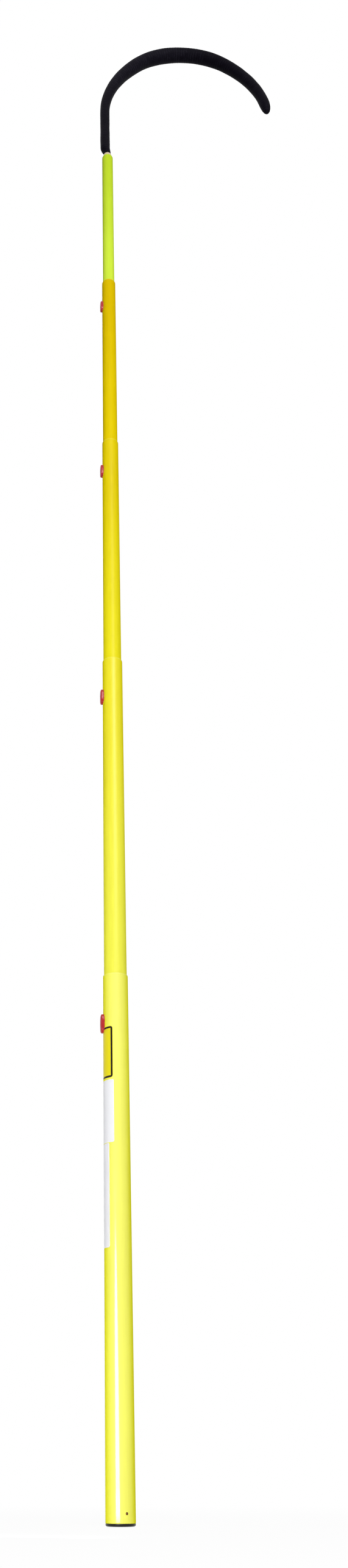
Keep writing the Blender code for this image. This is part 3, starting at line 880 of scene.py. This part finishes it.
def makeLabelMaterial(key, printed):
    look, finish = labelLooks[key], labelFinish
    name = key + ("_ink" if printed else "_vinyl")
    material, tree, shader = newMaterial(name, Specular_IOR_Level=finish["specular"])
    grain = placeGroup(tree, "grain", **finish["grain"])
    wear = placeGroup(tree, "wear", **finish["wear"])
    if printed:
        first, = screenColors(look, "ink")
        second = scaledColor(first, finish["inkShade"])
    else:
        first, second = screenColors(look, "light", "deep")
    feed(
        tree, shader, Base_Color=mixColor(tree, grain.outputs["Grain"], first, second),
        Roughness=weightedSum(tree, finish["roughness"], (wear.outputs["Smudge"], finish["smudgeRough"])),
        Normal=bumpFrom(tree, grain.outputs["Grain"], finish["relief"]),
    )
    return material


def roundedLoop(halfWidth, halfHeight, corner):
    # points of a rounded rectangle, anticlockwise from the top of its right side
    corner = max(min(corner, halfWidth - tinyLength, halfHeight - tinyLength), tinyLength)
    steps, sides, ends = (labelShape[key] for key in ("cornerSteps", "sideSteps", "endSteps"))
    signs = ((1, 1), (-1, 1), (-1, -1), (1, -1))
    centres = [Vector((x * (halfWidth - corner), y * (halfHeight - corner))) for x, y in signs]
    loop = []
    for index, run in enumerate((ends, sides, ends, sides)):
        for i in range(steps + 1):
            angle = math.radians(90 * index + 90 * i / steps)
            spoke = corner * Vector((math.cos(angle), math.sin(angle)))
            loop.append(centres[index] + spoke)
        start, end = centres[index] + spoke, centres[(index + 1) % len(centres)] + spoke
        loop += [start.lerp(end, i / run) for i in range(1, run)]
    return loop


def makeLabel(name):
    # rings of a rounded rectangle wrapped on the tube, front and back, with the border as faces
    label = labels[name]
    halfWidth, halfHeight = label["width"] / 2, (label["high"] - label["low"]) / 2
    middleHeight = (label["high"] + label["low"]) / 2
    radius = tubes["base"]["outer"] + labelShape["lift"]
    border = label["border"]
    insets = [0.0, *border]
    first, last, steps = insets[-1], halfWidth * labelShape["lastInset"], labelShape["insets"]
    insets += [first + (last - first) * i / steps for i in range(1, steps + 1)]

    def wrap(point, reach):
        # the label's right edge is its known one, and the width runs from there to the left
        angle = math.radians(-90 + label["edgeAngle"]) + (point.x - halfWidth) / radius
        return Vector((reach * math.cos(angle), reach * math.sin(angle), middleHeight + point.y))

    form = bmesh.new()
    sheets = []
    for reach in (radius + labelShape["thickness"], radius):
        loops = []
        for inset in insets:
            points = roundedLoop(halfWidth - inset, halfHeight - inset, label["corner"] - inset)
            loops.append([form.verts.new(wrap(point, reach)) for point in points])
        sheets.append(loops)
    front, back = sheets
    count = len(front[0])
    for loops in sheets:
        for step, (outer, inner) in enumerate(zip(loops, loops[1:])):
            for i in range(count):
                j = (i + 1) % count
                face = form.faces.new((outer[i], outer[j], inner[j], inner[i]))
                face.material_index = 1 if border and step == 1 else 0
        form.faces.new(loops[-1])
    for i in range(count):
        j = (i + 1) % count
        form.faces.new((front[0][i], back[0][i], back[0][j], front[0][j]))
    bmesh.ops.recalc_face_normals(form, faces=form.faces)
    mesh = meshFrom(form, name)
    smoothShade(mesh, sharpAngle=40)
    key = "label_yellow" if "yellow" in name else "label_white"
    made = [makeLabelMaterial(key, False)] + ([makeLabelMaterial(key, True)] if border else [])
    addPiece(name, mesh, made, "base")


for name in labels:
    makeLabel(name)
print("labels made")


# ferrule that joins the hook to the tip tube

ferruleShape = {
    "segments": 96, "edge": 0.0012, "collar": 0.012, "rodFit": 0.00665, "socketDepth": 0.055,
    "socketChamfer": 0.0004, "spigotChamfer": 0.001,
    # the slope from the collar to the shoulder: heights above the seat, and steps outward or inward
    "slopeTop": 0.0055, "slopeBend": 0.0040, "bendStep": 0.0004, "slopeFoot": 0.0016,
    "footStep": 0.0007, "bead": 0.0005, "beadHeight": 0.0008,
}


def makeFerrule():
    shape = ferruleShape
    low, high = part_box("hook_ferrule")
    seat, spigot = tubes["tip"]["mouth"] + seatGap, tubes["tip"]["bore"] - seatGap
    shoulder, collar, edge, bead = high.x, shape["collar"], shape["edge"], shape["bead"]
    socket, floor, chamfer = shape["rodFit"], high.z - shape["socketDepth"], shape["socketChamfer"]
    outline = [(0.0, floor), (socket, floor), (socket, high.z - chamfer), (socket + chamfer, high.z)]
    outline += roundedCorner((collar - edge, high.z - edge), edge, 90, 0)
    outline += [(collar, seat + shape["slopeTop"]), (collar + shape["bendStep"], seat + shape["slopeBend"])]
    outline.append((shoulder - shape["footStep"], seat + shape["slopeFoot"]))
    outline += roundedCorner((shoulder - bead, seat + shape["beadHeight"]), bead, 60, -90, steps=3)
    chamfer = shape["spigotChamfer"]
    outline += [(spigot, seat), (spigot, low.z + chamfer), (spigot - chamfer, low.z), (0.0, low.z)]
    mesh = lathe("hook_ferrule_smooth", outline, shape["segments"], closed=False)
    addPiece("hook_ferrule_smooth", mesh, [materials["ferrule"]], "tip", ["hook_ferrule"])


makeFerrule()
print("ferrule made")


# padded cover of the hook

hookShape = {
    "offset": 0.0068, "offsetStart": 0.004, "offsetLength": 0.036, "shank": 0.2194,
    "arcs": ((0.390, 43.0), (0.205, 88.2), (0.358, 45.7)), "foot": 0.005,
    "hemRadius": 0.0100, "shankRadius": 0.0143, "crownPad": 0.0223, "noseRadius": 0.0163,
    "hemTaper": 0.040, "swellStart": 0.188, "swellLength": 0.437, "noseTaperEnd": 0.020,
    "noseTaperLength": 0.482, "noseLength": 0.050, "boreRadius": 0.00665, "boreInset": 0.030,
    "hemLip": 0.0016, "sides": 48, "step": 0.0028, "boreSteps": 90, "hemSteps": 6, "noseSteps": 20,
    # the foam's relief: slow and fine folds, and ridges that wander with the noise
    "reliefEase": 0.03, "sway": 0.00045, "swayRate": 28, "fineShare": 0.3, "fineRate": 110,
    "fineShift": (3.1, 0, 0), "ridge": 0.00012, "wander": 2.2, "wanderRate": 20,
}


def hookPoint(run):
    # place and heading on the hook's centreline: stepped-back shank, three arcs and the foot
    shape = hookShape
    if run <= shape["shank"]:
        rise = run - shape["offsetStart"]
        part = min(max(rise / shape["offsetLength"], 0.0), 1.0)
        slope = 6 * part * (1 - part) * shape["offset"] / shape["offsetLength"]
        back = shape["offset"] * easeBetween(rise, 0.0, shape["offsetLength"])
        return Vector((-back, 0, hemHeight + run)), -math.atan(slope)
    position = Vector((-shape["offset"], 0, hemHeight + shape["shank"]))
    heading = 0.0
    run -= shape["shank"]
    for radius, degrees in shape["arcs"]:
        part = min(run, radius * math.radians(degrees))
        centre = position + Vector((math.cos(heading), 0, -math.sin(heading))) * radius
        heading += part / radius
        position = centre - Vector((math.cos(heading), 0, -math.sin(heading))) * radius
        run -= part
    return position + Vector((math.sin(heading), 0, math.cos(heading))) * run, heading


def padRadius(run, total):
    shape = hookShape
    hem, shank, crown, nose = (shape[key] for key in ("hemRadius", "shankRadius", "crownPad", "noseRadius"))
    taperStart = total - shape["noseTaperEnd"] - shape["noseTaperLength"]
    radius = hem + (shank - hem) * easeBetween(run, 0.0, shape["hemTaper"])
    radius += (crown - shank) * easeBetween(run, shape["swellStart"], shape["swellLength"])
    return radius + (nose - crown) * easeBetween(run, taperStart, shape["noseTaperLength"])


def coverStations():
    # (run, radius, relief) from the bore's end round the hem to the nose; the bore has no relief
    shape = hookShape
    total = shape["shank"] + sum(r * math.radians(turn) for r, turn in shape["arcs"]) + shape["foot"]
    boreEnd, boreSteps = total - shape["boreInset"], shape["boreSteps"]
    stations = [(boreEnd, 0.0, 0.0)]
    stations += [(boreEnd * (1 - i / boreSteps), shape["boreRadius"], 0.0) for i in range(boreSteps + 1)]
    hem, lip = shape["hemRadius"], shape["hemLip"]
    for i in range(shape["hemSteps"] + 1):
        angle = math.radians(90 * i / shape["hemSteps"])
        stations.append((lip * (1 - math.cos(angle)), hem - lip + lip * math.sin(angle), 0.0))
    noseStart = total - shape["noseLength"]
    steps = int((noseStart - lip) / shape["step"])
    for i in range(1, steps + 1):
        run = lip + (noseStart - lip) * i / steps
        stations.append((run, padRadius(run, total), easeBetween(run, 0.0, shape["reliefEase"])))
    for i in range(1, shape["noseSteps"]):
        angle = math.radians(90 * i / shape["noseSteps"])
        run, relief = noseStart + shape["noseLength"] * math.sin(angle), math.cos(angle)
        stations.append((run, padRadius(run, total) * relief, relief))
    stations.append((total, 0.0, 0.0))
    return stations


def foamRelief(point, run):
    # how far the foam's skin stands out at a point
    shape = hookShape
    sway = noise.noise(point * shape["swayRate"]) * shape["sway"]
    fine = noise.noise(point * shape["fineRate"] + Vector(shape["fineShift"]))
    wander = shape["wander"] * noise.noise(point * shape["wanderRate"])
    wave = math.sin(fullTurn * run / coverLook["ridgePitch"] + wander)
    return sway + fine * shape["sway"] * shape["fineShare"] + wave * shape["ridge"]


def makeHookCover():
    sides = hookShape["sides"]
    rings, runs = [], []
    for run, radius, relief in coverStations():
        centre, heading = hookPoint(run)
        outward = Vector((-math.cos(heading), 0, math.sin(heading)))
        ring = [centre]
        if radius > tinyLength:
            ring = []
            for i in range(sides):
                angle = fullTurn * i / sides
                spoke = outward * math.cos(angle) + Vector((0, 1, 0)) * math.sin(angle)
                around = centre + spoke * radius
                ring.append(around + spoke * relief * foamRelief(around, run))
        rings.append(ring)
        runs += [run] * len(ring)
    mesh = skin("hook_cover_foam", rings, sharpAngle=55)
    mark = mesh.attributes.new("runLength", "FLOAT", "POINT")
    mark.data.foreach_set("value", runs)
    cover = addPiece("hook_cover_foam", mesh, [materials["cover"]], "tip", ["hook_cover"])


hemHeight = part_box("hook_ferrule")[1].z + seatGap
makeHookCover()
print("hook cover made")


# inner pieces keep the CAD shapes and get their own finishes

innerFinishes = {"tip_foam_core": "foam", "ferrule_pin": "steel", "hook_rod": "steel"}
for key in buttonKeys.values():
    innerFinishes["guide_plug_" + key] = "plug"
for node, finish in innerFinishes.items():
    mesh = frame["nodes"][node].data
    mesh.materials.clear()
    mesh.materials.append(materials[finish])
print("inner pieces finished")


# studio: floor, white surroundings, lamps and camera

studio = {
    "floorSize": 60.0, "floorColor": (0.90, 0.90, 0.90, 1.0), "floorRough": 0.9,
    "mottleRates": (2.0, 2.0, 2.0), "mottle": 1.02, "glowNear": 0.95, "glowReach": (0.15, 2.2),
    "ambientFront": 0.19, "ambientBack": 0.80, "ambientTurn": 25.0, "ambientFade": (0.0, 0.7),
    "lamps": [
        # name, shape, place, aims at, width, height, watts
        ("key", "ELLIPSE", (-1.05, -2.46, 0.0), (0.0, 0.0, 0.0), 1.4, 1.75, 58.0),
        ("foot", "RECTANGLE", (-0.17, -0.417, 0.02), (0.0, 0.0, 0.02), 0.235, 0.04, 0.28),
        ("front", "RECTANGLE", (0.7, -3.56, 4.2), (0.0, 0.0, 3.0), 1.5, 2.2, 94.0),
    ],
    "cameraPlace": (-0.1152, -2.2542, 0.0618), "cameraTurn": (119.847, 0.0, -1.811),
    "lens": 27.915, "shift": 0.0516, "sensorWidth": 36, "clips": (0.05, 200),
}


def seenRay(tree):
    # 1 for what the camera sees, also in reflections and through glass, and 0 for other light
    light = tree.nodes.new("ShaderNodeLightPath")
    seen = math2(tree, "MAXIMUM", light.outputs["Is Camera Ray"], light.outputs["Is Glossy Ray"])
    return math2(tree, "MAXIMUM", seen, light.outputs["Is Transmission Ray"])


def makeFloor():
    # it glows white where it is seen and takes light like paper; near the pole it glows a little less, so
    # the pole's shadow shows, and the floor turns a little greyer round the pole even where no shadow falls:
    # painted shade
    size = studio["floorSize"] / 2
    form = bmesh.new()
    corners = ((-size, -size, 0), (size, -size, 0), (size, size, 0), (-size, size, 0))
    form.faces.new([form.verts.new(corner) for corner in corners])
    mesh = meshFrom(form, "floor")
    rough = studio["floorRough"]
    material, tree, shader = newMaterial("pale_floor", Roughness=rough, Specular_IOR_Level=0.0)
    lighter = scaledColor(studio["floorColor"], studio["mottle"])
    mottled = mixColor(tree, noiseValue(tree, studio["mottleRates"]), studio["floorColor"], lighter)
    feed(tree, shader, Base_Color=mottled)
    glow = tree.nodes.new("ShaderNodeEmission")
    # painted shade round the pole: the glow's share drops near it
    away = vectorMath(tree, "LENGTH", placeOn(tree)).outputs["Value"]
    glowShare = remap(tree, away, *studio["glowReach"], studio["glowNear"], 1.0)
    blend = tree.nodes.new("ShaderNodeMixShader")
    tree.links.new(times(tree, seenRay(tree), glowShare), blend.inputs["Fac"])
    tree.links.new(shader.outputs["BSDF"], blend.inputs[1])
    tree.links.new(glow.outputs["Emission"], blend.inputs[2])
    tree.links.new(blend.outputs["Shader"], tree.nodes["Material Output"].inputs["Surface"])
    mesh.materials.append(material)
    floor = newObject("floor", mesh)


def makeWorld():
    # white where the camera and reflections look; as light it is softer, and strongest from
    # behind and a little to the right
    world = bpy.data.worlds.new("studio")
    bpy.context.scene.world = world
    world.use_nodes = True
    tree = world.node_tree
    back = tree.nodes["Background"]
    back.inputs["Color"].default_value = (1, 1, 1, 1)
    turn = math.radians(studio["ambientTurn"])
    strongest = (math.sin(turn), math.cos(turn), 0)
    behind = vectorMath(tree, "DOT_PRODUCT", placeOn(tree, "Generated"), strongest).outputs["Value"]
    soft = remap(tree, behind, *studio["ambientFade"], studio["ambientFront"], studio["ambientBack"])
    rest = times(tree, minus(tree, 1.0, soft), seenRay(tree))
    feed(tree, back, Strength=plus(tree, soft, rest))


def makeLamps():
    for name, shape, place, aim, width, height, watts in studio["lamps"]:
        data = bpy.data.lights.new(name, "AREA")
        data.shape = shape
        data.size, data.size_y = width, height
        data.energy = watts
        lamp = newObject(name, data)
        lamp.location = place
        lamp.rotation_euler = (Vector(aim) - Vector(place)).to_track_quat("-Z", "Y").to_euler()


def makeCamera():
    data = bpy.data.cameras.new("camera")
    data.lens = studio["lens"]
    data.shift_x = studio["shift"]
    data.sensor_width = studio["sensorWidth"]
    data.clip_start, data.clip_end = studio["clips"]
    camera = newObject("camera", data)
    camera.location = studio["cameraPlace"]
    camera.rotation_euler = [math.radians(angle) for angle in studio["cameraTurn"]]
    bpy.context.scene.camera = camera


makeFloor()
makeWorld()
makeLamps()
makeCamera()
bpy.context.scene.view_settings.view_transform = "Standard"
print("studio made")

bpy.context.view_layer.update()
